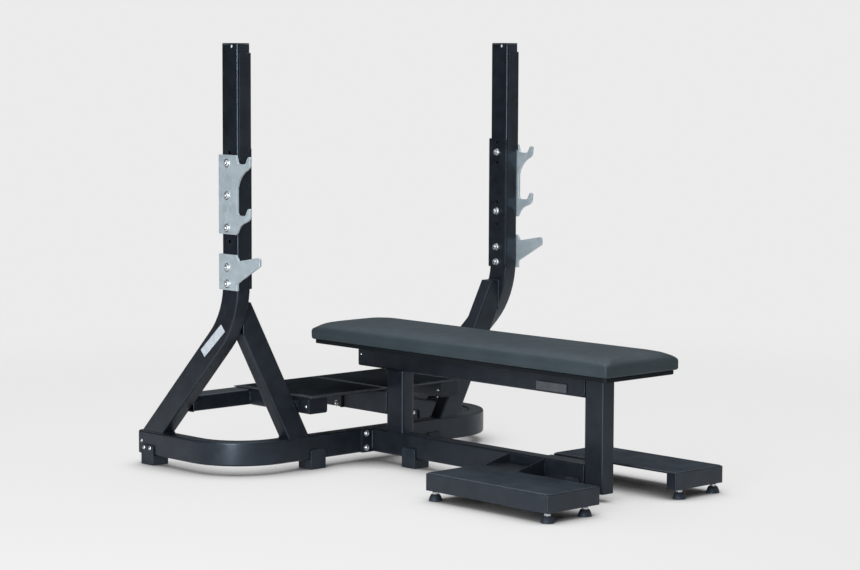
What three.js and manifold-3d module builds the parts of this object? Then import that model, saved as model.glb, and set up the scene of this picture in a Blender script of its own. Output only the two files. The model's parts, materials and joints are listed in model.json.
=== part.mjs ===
// Olympic flat bench press: a fixed bench between two bent uprights with bar hooks and low catches,
// a spotter's deck behind the rack and two foot plates on levelling feet beside the bench.
// Millimetres, +Z up. Y is measured from the uprights' front face, and the last lines move the whole
// object so that its origin is at the middle of its footprint, on the floor. The lifter's feet are at -Y.

import * as THREE from 'three';
import { mergeVertices } from 'three/addons/utils/BufferGeometryUtils.js';
import Module from 'manifold-3d';

const wasm = await Module();
wasm.setup();

// ---------------------------------------------------------------- driving dimensions

const gap = 0.3; // between two pieces that touch
const tube = { deep: 75, wide: 50, wall: 3, corner: 6 }; // the one steel section that the frame is made of
const half = { deep: tube.deep / 2, wide: tube.wide / 2 };

const tubeBottom = 31; // underside of the base tubes, held up by the rubber feet
const baseTop = tubeBottom + tube.deep;
const baseMiddle = tubeBottom + half.deep;

const rack = {
  x: 572, // middle of an upright
  y: half.deep,
  top: 1334,
  bendTop: 612, // the upright turns backwards below this height
  bendRadius: 262,
  bendAngle: THREE.MathUtils.degToRad(45),
};
const rackInside = rack.x - half.wide;
const rackOutside = rack.x + half.wide;

const base = { y: 60, cornerRadius: 175, railEnd: 500 }; // middle line of the bent base tube

const brace = {
  x: 324.5, // middle of the foot of the brace, on the base tube
  top: 545,
  lean: THREE.MathUtils.degToRad(28),
};

const plate = { thick: 8, rear: 81, web: -7, bolts: 40 }; // hook and catch plates, bolted on the outer faces
const hookPlate = { top: 998, bottom: 758, seats: [972, 817] };
const catchPlate = { top: 697, bottom: 588 };
const backingPlate = { front: 1, rear: 77, top: 1018, bottom: 590, thick: 5 };
const boltHole = 6.5;
const hookBolts = { through: [973, 777], short: 875 }; // the short one ends inside the tube
const catchBolts = [657, 607];
const spareHoles = [1005, 938, 808, 735];
const guard = { offset: 2.5, top: 1305, bottom: 981, thick: 4, wide: 45 }; // both sit slightly to the right

const seat = { top: 378, rear: 92, rearLegY: -77, frontLegY: -939.5, frontLegFoot: 28 };
const endPlate = { wide: 140, thick: 8, boltX: 50, boltZ: [46, 92] };
const board = { wide: 296, front: -1101, rear: 169, thick: 12 };
const pad = { wide: 304, front: -1105, rear: 173, top: 450 };
const label = { front: -831, rear: -707, bottom: 310, top: 336, thick: 4 };

const deck = { wide: 644, front: -20, rear: 365, bottom: 233, thick: 3, mat: 2, border: 18 };
const deckTube = { x: 283, front: -4, rearTubeY: 320.5 };
const deckBracket = { front: 33, rear: 67, bottom: 187, top: 222 }; // from a side tube to a brace
const strut = { bottom: deck.bottom - tube.deep, jointY: 174, jointThick: 8, jointWide: 64 };

const footPlate = { inner: 163, outer: 376, front: -1096, rear: -596, bottom: 31, top: 81, sheet: 3 };
const footPlateMat = { inset: 4, thick: 2.5 };
const footPlateReturn = 36; // what the open inner side keeps of its skirt at each end
const bracket = {
  front: -742,
  rear: -594,
  sheet: 4,
  reach: 188,
  bottom: 50,
  tipX: 125,
  tipZ: 81,
  armX: 158,
};

const boss = { radius: 10, hole: 5.4, bottom: 28, depth: 46 }; // threaded boss for a levelling foot
const levelling = { insetOuter: 21, insetInner: 40, insetEnd: 21, baseRadius: 19.5, neckRadius: 13 };
const levellingHeights = { rim: 3, base: 18, nut: 26, stud: 58 };
const levellingRadii = { nut: 12.5, stud: 5 };

const saddle = { long: 61, wall: 6, top: 64, corner: 10 }; // rubber foot that wraps a base tube
const saddles = { railY: 453.5, crossX: 250.5, beamMiddleY: -148, beamFrontY: -856.5 };

const capThick = 3;
const cornerDivisions = 1; // two sides in a small rounded corner
const roundDivisions = 4; // eight sides in a bolt hole, four in a curved stretch
const bendSteps = 8; // sides in the bend of an upright
const cornerSteps = 10; // sides in a corner of the base tube
const footSides = 12; // sides around a levelling foot
const far = 2000; // reaches past the whole object, for cutting blocks

// ---------------------------------------------------------------- materials

function finish(color, roughness, metalness) {
  return new THREE.MeshStandardMaterial({ color, roughness, metalness });
}

const powderCoat = finish(0x23272b, 0.42, 0.2);
const zincPlate = finish(0xaab2b8, 0.36, 0.9);
const blackRubber = finish(0x15171a, 0.82, 0);
const blackPlastic = finish(0x1a1c1f, 0.55, 0);
const matRubber = finish(0x272b2e, 0.9, 0);
const vinyl = finish(0x3a4347, 0.48, 0);
const boardPaint = finish(0x121315, 0.6, 0);
const greyLabel = finish(0x4a4d55, 0.4, 0.3);

// ---------------------------------------------------------------- geometry helpers

// Drops what only rendering needs and joins equal vertices, so that the mesh is one indexed closed body.
function clean(geometry) {
  geometry.deleteAttribute('normal');
  geometry.deleteAttribute('uv');
  return mergeVertices(geometry, 1e-4);
}

function toSolid(geometry) {
  const vertProperties = new Float32Array(geometry.attributes.position.array);
  const triVerts = new Uint32Array(geometry.index.array);
  return new wasm.Manifold(new wasm.Mesh({ numProp: 3, vertProperties, triVerts }));
}

function toGeometry(solid) {
  const mesh = solid.getMesh();
  const geometry = new THREE.BufferGeometry();
  geometry.setAttribute('position', new THREE.BufferAttribute(mesh.vertProperties, 3));
  geometry.setIndex(new THREE.BufferAttribute(mesh.triVerts, 1));
  return geometry;
}

function cut(geometry, ...tools) {
  const solid = tools.reduce((left, tool) => left.subtract(toSolid(tool)), toSolid(geometry));
  return toGeometry(solid);
}

function keepInside(geometry, tool) {
  return toGeometry(toSolid(geometry).intersect(toSolid(tool)));
}

function join(geometry, ...others) {
  const solid = others.reduce((sum, other) => sum.add(toSolid(other)), toSolid(geometry));
  return toGeometry(solid);
}

function mirrored(geometry) {
  const copy = geometry.clone().scale(-1, 1, 1);
  const order = copy.index.array;
  for (let i = 0; i < order.length; i += 3) {
    [order[i], order[i + 1]] = [order[i + 1], order[i]];
  }
  return copy;
}

const axisX = new THREE.Vector3(1, 0, 0);
const axisY = new THREE.Vector3(0, 1, 0);
const axisZ = new THREE.Vector3(0, 0, 1);

function extrude(shape, depth, curveSegments = cornerDivisions) {
  return new THREE.ExtrudeGeometry(shape, { depth, bevelEnabled: false, steps: 1, curveSegments });
}

// Outline in (y, z), extruded along X.
function prismX(shape, from, to, curveSegments) {
  const turn = new THREE.Matrix4().makeBasis(axisY, axisZ, axisX);
  return clean(extrude(shape, to - from, curveSegments).applyMatrix4(turn).translate(from, 0, 0));
}

// Outline in (x, z), extruded along Y.
function prismY(shape, from, to, curveSegments) {
  const turn = new THREE.Matrix4().makeBasis(axisX, axisZ, axisY.clone().negate());
  return clean(extrude(shape, to - from, curveSegments).applyMatrix4(turn).translate(0, to, 0));
}

// Outline in (x, y), extruded along Z.
function prismZ(shape, from, to, curveSegments) {
  return clean(extrude(shape, to - from, curveSegments).translate(0, 0, from));
}

function block(low, high) {
  const size = high.map((value, i) => value - low[i]);
  const middle = high.map((value, i) => (value + low[i]) / 2);
  return clean(new THREE.BoxGeometry(...size).translate(...middle));
}

function polygon(corners) {
  return new THREE.Shape(corners.map(([a, b]) => new THREE.Vector2(a, b)));
}

function rectangle(a, b, width, height) {
  const [right, top] = [width / 2, height / 2];
  return polygon([[a - right, b - top], [a + right, b - top], [a + right, b + top], [a - right, b + top]]);
}

// A rectangle with rounded corners around a middle point.
function roundedShape(a, b, width, height, radius = tube.corner) {
  const right = a + width / 2 - radius;
  const left = a - width / 2 + radius;
  const top = b + height / 2 - radius;
  const bottom = b - height / 2 + radius;
  const outline = new THREE.Shape();
  outline.moveTo(right + radius, bottom);
  outline.absarc(right, top, radius, 0, Math.PI / 2, false);
  outline.absarc(left, top, radius, Math.PI / 2, Math.PI, false);
  outline.absarc(left, bottom, radius, Math.PI, Math.PI * 1.5, false);
  outline.absarc(right, bottom, radius, Math.PI * 1.5, Math.PI * 2, false);
  outline.closePath();
  return outline;
}

// The tube section around a middle point: width and height across it, open inside.
function tubeSection(a, b, width, height) {
  const shape = roundedShape(a, b, width, height);
  shape.holes.push(rectangle(a, b, width - 2 * tube.wall, height - 2 * tube.wall));
  return shape;
}

function disc(a, b, radius) {
  return new THREE.Shape().absarc(a, b, radius, 0, Math.PI * 2, false);
}

function drill(shape, a, heights, radius = boltHole) {
  heights.forEach((height) => shape.holes.push(disc(a, height, radius)));
}

// A path given by its stations, so that straight stretches need no sides between their ends.
class StationPath extends THREE.Curve {
  constructor(stations) {
    super();
    this.stations = stations;
  }

  getUtoTmapping(u) {
    return u;
  }

  at(t) {
    return this.stations[Math.round(t * (this.stations.length - 1))];
  }

  getPoint(t) {
    return this.at(t).point.clone();
  }

  getTangent(t) {
    return this.at(t).tangent.clone();
  }
}

function station(point, tangent) {
  return { point: new THREE.Vector3(...point), tangent: new THREE.Vector3(...tangent).normalize() };
}

function sweep(shape, stations) {
  const extrudePath = new StationPath(stations);
  const options = { extrudePath, steps: stations.length - 1, curveSegments: cornerDivisions };
  return clean(new THREE.ExtrudeGeometry(shape, options));
}

function steps(count) {
  return Array.from({ length: count + 1 }, (_, i) => i / count);
}

// ---------------------------------------------------------------- the object and its nodes

const model = new THREE.Group();

function add(name, geometry, material) {
  const mesh = new THREE.Mesh(geometry, material);
  mesh.name = name;
  model.add(mesh);
  return mesh;
}

// Paired pieces are built for the right side, +X, and mirrored for the left.
function addPair(name, geometry, material) {
  add(`${name}_right`, geometry, material);
  add(`${name}_left`, mirrored(geometry), material);
}

// ---------------------------------------------------------------- rack

// Vertical at the top, then a 45 degree bend, then straight down to the end of the base rail.
function uprightStations() {
  const { y, top, bendTop, bendRadius, bendAngle } = rack;
  const bend = steps(bendSteps).map((share) => {
    const angle = share * bendAngle;
    const point = [0, y + bendRadius * (1 - Math.cos(angle)), bendTop - bendRadius * Math.sin(angle)];
    return station(point, [0, Math.sin(angle), -Math.cos(angle)]);
  });
  const last = bend[bend.length - 1];
  const reach = (last.point.z - tubeBottom) / Math.cos(bendAngle);
  const foot = last.point.clone().addScaledVector(last.tangent, reach);
  return [
    station([0, y, top - capThick - gap], [0, 0, -1]),
    ...bend,
    station(foot.toArray(), last.tangent.toArray()),
  ];
}

function uprightHoles() {
  const through = [...hookBolts.through, ...catchBolts, ...spareHoles];
  const pin = (height, from) => prismX(disc(plate.bolts, height, boltHole), from, tube.wide, roundDivisions);
  return [...through.map((height) => pin(height, -tube.wide)), pin(hookBolts.short, 0)];
}

function addUprights() {
  const blank = sweep(tubeSection(0, 0, tube.deep, tube.wide), uprightStations());
  const below = block([-far, -far, -far], [far, far, baseTop + gap]);
  const geometry = cut(blank, below, ...uprightHoles()).translate(rack.x, 0, 0);
  addPair('upright', geometry, powderCoat);

  const cap = roundedShape(rack.x, rack.y, tube.wide, tube.deep);
  addPair('upright_cap', prismZ(cap, rack.top - capThick, rack.top), blackPlastic);
}

// The hook under one bar seat, from the web of the plate out to the lip and back under to the web.
function hookOutline(shape, seat, returnDepth) {
  const { web } = plate;
  const lip = { inner: -57, outer: -69, top: 22 };
  shape.lineTo(web, seat + 12);
  shape.quadraticCurveTo(web, seat, web - 13, seat);
  shape.lineTo(-38, seat);
  shape.quadraticCurveTo(-48, seat, -51, seat + 10);
  shape.lineTo(lip.inner, seat + lip.top - 2);
  shape.quadraticCurveTo(lip.inner - 6, seat + lip.top + 4, lip.outer, seat + lip.top - 2);
  shape.lineTo(lip.outer + 2, seat - 2);
  shape.quadraticCurveTo(lip.outer + 5, seat - 14, -48, seat - 19);
  shape.quadraticCurveTo(web - 10, seat - returnDepth / 2, web, seat - returnDepth);
}

function addHookPlates() {
  const { top, bottom, seats } = hookPlate;
  const shape = new THREE.Shape();
  shape.moveTo(plate.rear, top);
  shape.lineTo(plate.web + 5, top);
  hookOutline(shape, seats[0], 72);
  hookOutline(shape, seats[1], 52);
  shape.lineTo(plate.web + 6, bottom);
  shape.lineTo(plate.rear, bottom);
  drill(shape, plate.bolts, [...hookBolts.through, hookBolts.short]);
  const from = rackOutside + gap;
  addPair('hook_plate', prismX(shape, from, from + plate.thick, roundDivisions), zincPlate);
}

function addCatchPlates() {
  const { top, bottom } = catchPlate;
  const arm = { tip: -113, topZ: 695, lowZ: 670, rootTop: 679, rootLow: 614 };
  const shape = new THREE.Shape();
  shape.moveTo(plate.rear, top);
  shape.lineTo(1, top);
  shape.lineTo(-13, arm.rootTop);
  shape.lineTo(arm.tip + 10, arm.topZ);
  shape.quadraticCurveTo(arm.tip, arm.topZ + 2, arm.tip, arm.topZ - 8);
  shape.lineTo(arm.tip, arm.lowZ);
  shape.lineTo(-12, arm.rootLow);
  shape.quadraticCurveTo(-5, arm.rootLow - 4, -5, arm.rootLow - 12);
  shape.lineTo(-5, bottom);
  shape.lineTo(plate.rear, bottom);
  drill(shape, plate.bolts, catchBolts);
  const from = rackOutside + gap;
  addPair('catch_plate', prismX(shape, from, from + plate.thick, roundDivisions), zincPlate);
}

function addBackingPlates() {
  const { front, rear, top, bottom, thick } = backingPlate;
  const shape = roundedShape((front + rear) / 2, (top + bottom) / 2, rear - front, top - bottom, 3);
  drill(shape, plate.bolts, [...hookBolts.through, ...catchBolts, ...spareHoles]);
  const to = rackInside - gap;
  addPair('backing_plate', prismX(shape, to - thick, to, roundDivisions), powderCoat);
}

function addGuards() {
  const { offset, top, bottom, thick, wide } = guard;
  for (const [side, x] of [['right', rack.x], ['left', -rack.x]]) {
    const shape = roundedShape(x + offset, -gap - thick / 2, wide, thick, 1.5);
    add(`upright_guard_${side}`, prismZ(shape, bottom, top), blackPlastic);
  }
}

// ---------------------------------------------------------------- base

function cornerStations(centreX, startAngle) {
  const radius = base.cornerRadius;
  return steps(cornerSteps).map((share) => {
    const angle = startAngle + (share * Math.PI) / 2;
    const x = centreX + radius * Math.cos(angle);
    const y = base.y + radius + radius * Math.sin(angle);
    return station([x, y, baseMiddle], [-Math.sin(angle), Math.cos(angle), 0]);
  });
}

// One tube, bent into a U: rail, corner, cross tube, corner, rail.
function addBase() {
  const centreX = rack.x - base.cornerRadius;
  const stations = [
    station([-rack.x, base.railEnd, baseMiddle], [0, -1, 0]),
    ...cornerStations(-centreX, Math.PI),
    ...cornerStations(centreX, Math.PI * 1.5),
    station([rack.x, base.railEnd, baseMiddle], [0, 1, 0]),
  ];
  add('base_tube', sweep(tubeSection(0, 0, tube.deep, tube.wide), stations), powderCoat);

  const cap = roundedShape(rack.x, baseMiddle, tube.wide, tube.deep);
  const from = base.railEnd + gap;
  addPair('rail_cap', prismY(cap, from, base.railEnd + 5), blackPlastic);
}

// The leaning tube between the base tube and the upright, open at its foot and where it meets the upright.
function addBraces() {
  const place = (geometry) => geometry.rotateY(brace.lean).translate(brace.x, base.y, baseTop);
  const outer = place(prismZ(roundedShape(0, 0, tube.deep, tube.wide), -tube.deep, far / 2));
  const core = rectangle(0, 0, tube.deep - 2 * tube.wall, tube.wide - 2 * tube.wall);
  const hollow = cut(
    place(prismZ(core, -2 * tube.deep, far / 2)),
    block([-far, -far, brace.top - tube.wall], [far, far, far]),
  );
  const geometry = cut(
    outer,
    hollow,
    block([-far, -far, -far], [far, far, baseTop + gap]),
    block([-far, -far, brace.top], [far, far, far]),
    block([rackInside - gap, -far, -far], [far, far, far]),
  );
  addPair('brace', geometry, powderCoat);
}

// A rubber block under a tube with two tabs up its sides.
function saddleShape(middle) {
  const inner = half.wide + gap;
  const outer = half.wide + saddle.wall;
  const under = tubeBottom - gap;
  const profile = [
    [-outer, 0], [outer, 0], [outer, saddle.top], [inner, saddle.top],
    [inner, under], [-inner, under], [-inner, saddle.top], [-outer, saddle.top],
  ];
  return polygon(profile.map(([across, up]) => [middle + across, up]));
}

// The side view of a saddle foot: round upper corners on its tabs. The outline's lower corners lie below the
// floor, so that the foot stays square there.
function saddleSide(middle) {
  const height = saddle.top + 2 * saddle.corner;
  return roundedShape(middle, saddle.top - height / 2, saddle.long, height, saddle.corner);
}

function saddleAlongY(x, y) {
  const blank = prismY(saddleShape(x), y - saddle.long / 2, y + saddle.long / 2);
  return keepInside(blank, prismX(saddleSide(y), x - tube.wide, x + tube.wide, roundDivisions));
}

function saddleAlongX(x, y) {
  const blank = prismX(saddleShape(y), x - saddle.long / 2, x + saddle.long / 2);
  return keepInside(blank, prismY(saddleSide(x), y - tube.wide, y + tube.wide, roundDivisions));
}

function addSaddleFeet() {
  const { railY, crossX, beamMiddleY, beamFrontY } = saddles;
  addPair('rail_foot', saddleAlongY(rack.x, railY), blackRubber);
  addPair('cross_foot', saddleAlongX(crossX, base.y), blackRubber);
  add('beam_foot_middle', saddleAlongY(0, beamMiddleY), blackRubber);
  add('beam_foot_front', saddleAlongY(0, beamFrontY), blackRubber);
}

// ---------------------------------------------------------------- bench

function addBenchFrame() {
  const crossFront = base.y - half.wide;
  const plateRear = crossFront - gap;
  const beamRear = plateRear - endPlate.thick - gap;
  const legRear = seat.frontLegY + half.deep + gap;
  const beam = tubeSection(0, baseMiddle, tube.wide, tube.deep);
  add('main_beam', prismY(beam, legRear, beamRear), powderCoat);

  const end = roundedShape(0, baseMiddle, endPlate.wide, tube.deep, 4);
  for (const x of [-endPlate.boltX, endPlate.boltX]) {
    drill(end, x, endPlate.boltZ, 5.5);
  }
  add('beam_end_plate', prismY(end, plateRear - endPlate.thick, plateRear, roundDivisions), powderCoat);

  const seatMiddle = seat.top - half.deep;
  const rearLeg = tubeSection(0, seat.rearLegY, tube.wide, tube.deep);
  const frontLeg = tubeSection(0, seat.frontLegY, tube.wide, tube.deep);
  const seatBeam = tubeSection(0, seatMiddle, tube.wide, tube.deep);
  add('rear_leg', prismZ(rearLeg, baseTop + gap, seat.top - tube.deep - gap), powderCoat);
  add('front_leg', prismZ(frontLeg, seat.frontLegFoot, seat.top), powderCoat);
  add('seat_beam', prismY(seatBeam, legRear, seat.rear), powderCoat);

  const legCap = roundedShape(0, seat.frontLegY, tube.wide, tube.deep);
  const legCapTop = seat.frontLegFoot - gap;
  add('front_leg_cap', prismZ(legCap, legCapTop - capThick, legCapTop), blackPlastic);
  const beamCap = roundedShape(0, seatMiddle, tube.wide, tube.deep);
  const capFront = seat.rear + gap;
  add('seat_beam_cap', prismY(beamCap, capFront, capFront + capThick), blackPlastic);
}

function padSection(bottom) {
  const side = pad.wide / 2;
  const shoulder = { z: pad.top - 22, x: side - 22 };
  const shape = new THREE.Shape();
  shape.moveTo(-side, bottom);
  shape.lineTo(side, bottom);
  shape.lineTo(side, shoulder.z);
  shape.quadraticCurveTo(side, pad.top - 7, shoulder.x, pad.top - 5);
  shape.quadraticCurveTo(0, pad.top + 5, -shoulder.x, pad.top - 5);
  shape.quadraticCurveTo(-side, pad.top - 7, -side, shoulder.z);
  shape.closePath();
  return shape;
}

function addSeat() {
  const boardBottom = seat.top + gap;
  const boardTop = boardBottom + board.thick;
  const outline = roundedShape(0, (board.front + board.rear) / 2, board.wide, board.rear - board.front, 12);
  add('pad_board', prismZ(outline, boardBottom, boardTop, 2), boardPaint);
  add('bench_pad', prismY(padSection(boardTop + gap), pad.front, pad.rear, 6), vinyl);

  const plateMiddle = (label.front + label.rear) / 2;
  const size = [label.rear - label.front, label.top - label.bottom];
  const outlineLabel = roundedShape(plateMiddle, (label.top + label.bottom) / 2, ...size, 2);
  const to = -half.wide - gap;
  add('label_plate', prismX(outlineLabel, to - label.thick, to), greyLabel);
}

// ---------------------------------------------------------------- spotter's deck

function addDeckFrame() {
  const middle = deck.bottom - half.wide;
  const rearFront = deckTube.rearTubeY - half.deep - gap;
  const side = tubeSection(deckTube.x, middle, tube.deep, tube.wide);
  addPair('deck_side_tube', prismY(side, deckTube.front, rearFront), powderCoat);
  const cap = roundedShape(deckTube.x, middle, tube.deep, tube.wide);
  const capRear = deckTube.front - gap;
  addPair('deck_tube_cap', prismY(cap, capRear - capThick, capRear), blackPlastic);

  const rear = tubeSection(deckTube.rearTubeY, middle, tube.deep, tube.wide);
  add('deck_rear_tube', prismX(rear, -rackInside + gap, rackInside - gap), powderCoat);

  const section = tubeSection(0, strut.bottom + half.deep, tube.wide, tube.deep);
  const jointFront = strut.jointY - strut.jointThick / 2;
  const jointRear = strut.jointY + strut.jointThick / 2;
  const legRear = seat.rearLegY + half.deep + gap;
  add('deck_strut_front', prismY(section, legRear, jointFront - gap), powderCoat);
  add('deck_strut_rear', prismY(section, jointRear + gap, rearFront), powderCoat);
  const joint = roundedShape(0, strut.bottom + half.deep, strut.jointWide, tube.deep, 3);
  add('deck_strut_joint', prismY(joint, jointFront, jointRear), powderCoat);
}

// How far from the middle a brace's inner face is at some height.
function braceInnerX(z) {
  return brace.x - half.deep / Math.cos(brace.lean) + (z - baseTop) * Math.tan(brace.lean);
}

function addDeckBrackets() {
  const { front, rear, bottom, top } = deckBracket;
  const tubeFace = deckTube.x + half.deep + gap;
  const clear = gap / Math.cos(brace.lean);
  const outline = [
    [tubeFace, bottom],
    [braceInnerX(bottom) - clear, bottom],
    [braceInnerX(top) - clear, top],
    [tubeFace, top],
  ];
  addPair('deck_bracket', prismY(polygon(outline), front, rear), powderCoat);
}

function addDeck() {
  const middleY = (deck.front + deck.rear) / 2;
  const long = deck.rear - deck.front;
  const top = deck.bottom + gap + deck.thick;
  const plateShape = roundedShape(0, middleY, deck.wide, long, 4);
  add('deck_plate', prismZ(plateShape, deck.bottom + gap, top), powderCoat);

  const matWide = deck.wide / 2 - 1.5 * deck.border;
  const matX = deck.border / 2 + matWide / 2;
  const mat = roundedShape(matX, middleY, matWide, long - 2 * deck.border, 3);
  addPair('deck_mat', prismZ(mat, top + gap, top + gap + deck.mat), matRubber);
}

// ---------------------------------------------------------------- foot plates

const footPlateX = (footPlate.inner + footPlate.outer) / 2;
const footPlateY = (footPlate.front + footPlate.rear) / 2;
const footPlateWide = footPlate.outer - footPlate.inner;
const footPlateLong = footPlate.rear - footPlate.front;

function levellingPlaces() {
  const { inner, outer, front, rear } = footPlate;
  const { insetInner, insetOuter, insetEnd } = levelling;
  const columns = { inner: inner + insetInner, outer: outer - insetOuter };
  const rows = { front: front + insetEnd, rear: rear - insetEnd };
  return Object.entries(rows).flatMap(([row, y]) =>
    Object.entries(columns).map(([column, x]) => ({ name: `${row}_${column}`, x, y })),
  );
}

// A folded tray with skirts on three sides and short returns on the inner side, and four threaded bosses.
function addFootPlates() {
  const { inner, front, rear, bottom, top, sheet } = footPlate;
  const underside = top - sheet;
  const outside = prismZ(roundedShape(footPlateX, footPlateY, footPlateWide, footPlateLong, 4), bottom, top);
  const walls = 2 * sheet;
  const inside = roundedShape(footPlateX, footPlateY, footPlateWide - walls, footPlateLong - walls, 1);
  const innerOpening = block(
    [inner - sheet, front + footPlateReturn, bottom - sheet],
    [inner + walls, rear - footPlateReturn, underside],
  );
  const tray = cut(outside, prismZ(inside, bottom - sheet, underside), innerOpening);
  const places = levellingPlaces();
  const bosses = places.map(({ x, y }) =>
    prismZ(disc(x, y, boss.radius), boss.bottom, underside + 1, roundDivisions),
  );
  const holes = places.map(({ x, y }) =>
    prismZ(disc(x, y, boss.hole), boss.bottom - 1, boss.bottom + boss.depth, roundDivisions),
  );
  addPair('foot_plate', cut(join(tray, ...bosses), ...holes), powderCoat);

  const inset = 2 * footPlateMat.inset;
  const mat = roundedShape(footPlateX, footPlateY, footPlateWide - inset, footPlateLong - inset, 4);
  addPair('foot_plate_mat', prismZ(mat, top + gap, top + gap + footPlateMat.thick), matRubber);
}

// Shelf with two side plates, welded to the main beam, that carries a foot plate's inner side.
function addFootPlateBrackets() {
  const { front, rear, sheet, reach, bottom, tipX, tipZ, armX } = bracket;
  const from = half.wide + gap;
  const shelfTop = footPlate.top - footPlate.sheet - gap;
  const tongueRear = footPlate.rear - footPlateReturn - 2;
  const outline = [
    [from, front], [reach, front], [reach, tongueRear], [armX, tongueRear], [armX, rear], [from, rear],
  ];
  const shelf = prismZ(polygon(outline), shelfTop - sheet, shelfTop);
  const profile = [
    [from, bottom], [from, baseTop - 2], [tipX, tipZ], [tipX + 5, shelfTop],
    [armX, shelfTop], [armX, shelfTop - 2 * sheet], [tipX, bottom],
  ];
  const side = polygon(profile);
  const sides = [prismY(side, front, front + sheet), prismY(side, rear - sheet, rear)];
  addPair('foot_plate_bracket', join(shelf, ...sides), powderCoat);
}

// Conical rubber base, nut and threaded stud, turned about the stud's axis.
function levellingFoot() {
  const { baseRadius, neckRadius } = levelling;
  const { rim, base: baseTopZ, nut, stud } = levellingHeights;
  const profile = [
    [0, 0], [baseRadius, 0], [baseRadius, rim], [neckRadius, baseTopZ], [levellingRadii.nut, baseTopZ],
    [levellingRadii.nut, nut], [levellingRadii.stud, nut], [levellingRadii.stud, stud], [0, stud],
  ];
  const points = profile.map(([radius, height]) => new THREE.Vector2(radius, height));
  return clean(new THREE.LatheGeometry(points, footSides).rotateX(Math.PI / 2));
}

function addLevellingFeet() {
  for (const { name, x, y } of levellingPlaces()) {
    add(`levelling_foot_right_${name}`, levellingFoot(), blackRubber).position.set(x, y, 0);
    add(`levelling_foot_left_${name}`, levellingFoot(), blackRubber).position.set(-x, y, 0);
  }
}

// ---------------------------------------------------------------- assembly

addUprights();
addHookPlates();
addCatchPlates();
addBackingPlates();
addGuards();
addBase();
addBraces();
addSaddleFeet();
addBenchFrame();
addSeat();
addDeckFrame();
addDeckBrackets();
addDeck();
addFootPlates();
addFootPlateBrackets();
addLevellingFeet();

// The footprint runs from the pad's front to the rails' rear caps.
model.position.y = -(pad.front + base.railEnd + 5) / 2;

export default model;
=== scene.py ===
"""An olympic flat bench press on a pale floor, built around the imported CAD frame.

Metres, +Z up, the frame's own axes: the lifter's feet are at -Y, the spotter's deck at +Y.
CAD nodes keep their shape and get fine edges and materials. What the frame leaves out is built here:
the upholstered pad, the levelling feet, the fasteners, the weld beads and the blank label.
"""

import json
import math
import random

import bmesh
import bpy
from mathutils import Matrix, Vector


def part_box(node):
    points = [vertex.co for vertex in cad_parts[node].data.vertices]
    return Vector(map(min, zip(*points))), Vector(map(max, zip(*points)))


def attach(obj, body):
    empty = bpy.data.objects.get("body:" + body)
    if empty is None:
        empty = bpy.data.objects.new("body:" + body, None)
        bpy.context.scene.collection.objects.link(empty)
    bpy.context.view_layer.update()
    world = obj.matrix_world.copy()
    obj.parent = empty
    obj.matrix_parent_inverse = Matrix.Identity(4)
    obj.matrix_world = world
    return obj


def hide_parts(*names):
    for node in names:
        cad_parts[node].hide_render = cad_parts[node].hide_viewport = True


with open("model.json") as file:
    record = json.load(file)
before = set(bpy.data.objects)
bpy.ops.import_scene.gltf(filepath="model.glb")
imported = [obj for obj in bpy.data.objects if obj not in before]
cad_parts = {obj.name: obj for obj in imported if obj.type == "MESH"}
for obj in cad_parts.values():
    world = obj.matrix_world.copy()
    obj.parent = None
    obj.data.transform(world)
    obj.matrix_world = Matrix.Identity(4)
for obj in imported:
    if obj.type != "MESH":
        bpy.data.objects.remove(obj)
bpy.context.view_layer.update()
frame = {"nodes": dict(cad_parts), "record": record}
FRAME_BODY = "frame"
MM = 0.001
UP = Vector((0, 0, 1))
SIDES = {"right": 1, "left": -1}


# ---------------------------------------------------------------- camera, light and floor

CAMERA = {
    "place": (-5.4414, -5.6908, 1.369),
    "azimuth": math.radians(-43.282),
    "tilt": math.radians(5.6547),
    "roll": math.radians(0.2229),
    "lens": 106.91,
}


def make_camera():
    """A camera that looks along +Y at azimuth 0, tilted down and rolled a little."""
    azimuth, tilt, roll = CAMERA["azimuth"], CAMERA["tilt"], CAMERA["roll"]
    level = Vector((math.cos(azimuth), math.sin(azimuth), 0))
    behind = Vector((math.sin(azimuth), -math.cos(azimuth), 0))
    back = math.cos(tilt) * behind + math.sin(tilt) * UP
    above = back.cross(level)
    right = math.cos(roll) * level + math.sin(roll) * above
    up = back.cross(right)
    data = bpy.data.cameras.new("camera")
    data.lens = CAMERA["lens"]
    data.sensor_width = 36
    data.clip_end = 200
    camera = bpy.data.objects.new("camera", data)
    turn = Matrix((right, up, back)).transposed().to_4x4()
    camera.matrix_world = Matrix.Translation(CAMERA["place"]) @ turn
    bpy.context.scene.collection.objects.link(camera)
    bpy.context.scene.camera = camera


LIGHT_COLOUR = (0.9, 0.96, 1.0)
MIDDLE = (0, 0, 0.5)
SOFTBOXES = {
    "softbox_left": {"place": (-4.4, -1.5, 2.4), "target": MIDDLE, "size": (2.4, 2.6), "power": 118},
    "softbox_right": {"place": (4.5, -4.5, 3.2), "target": MIDDLE, "size": (3.0, 3.0), "power": 28},
    "softbox_top": {"place": (0.4, 0.6, 4.6), "target": MIDDLE, "size": (4.5, 4.5), "power": 134},
    "softbox_front": {"place": (-5.3, -2.9, 1.1), "target": (0, 0, 0.4), "size": (1.1, 2.1), "power": 225},
    "card_right": {"place": (3.8, -0.9, 0.5), "target": (0.5, 0.1, 0.1), "size": (1.4, 1.4), "power": 8},
}


def softbox(name, place, target, size, power):
    """A rectangular studio light that faces its target."""
    data = bpy.data.lights.new(name, "AREA")
    data.shape = "RECTANGLE"
    data.size, data.size_y = size
    data.energy = power
    data.color = LIGHT_COLOUR
    light = bpy.data.objects.new(name, data)
    light.visible_camera = False
    light.location = place
    light.rotation_euler = (Vector(target) - Vector(place)).to_track_quat("-Z", "Y").to_euler()
    bpy.context.scene.collection.objects.link(light)


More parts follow.
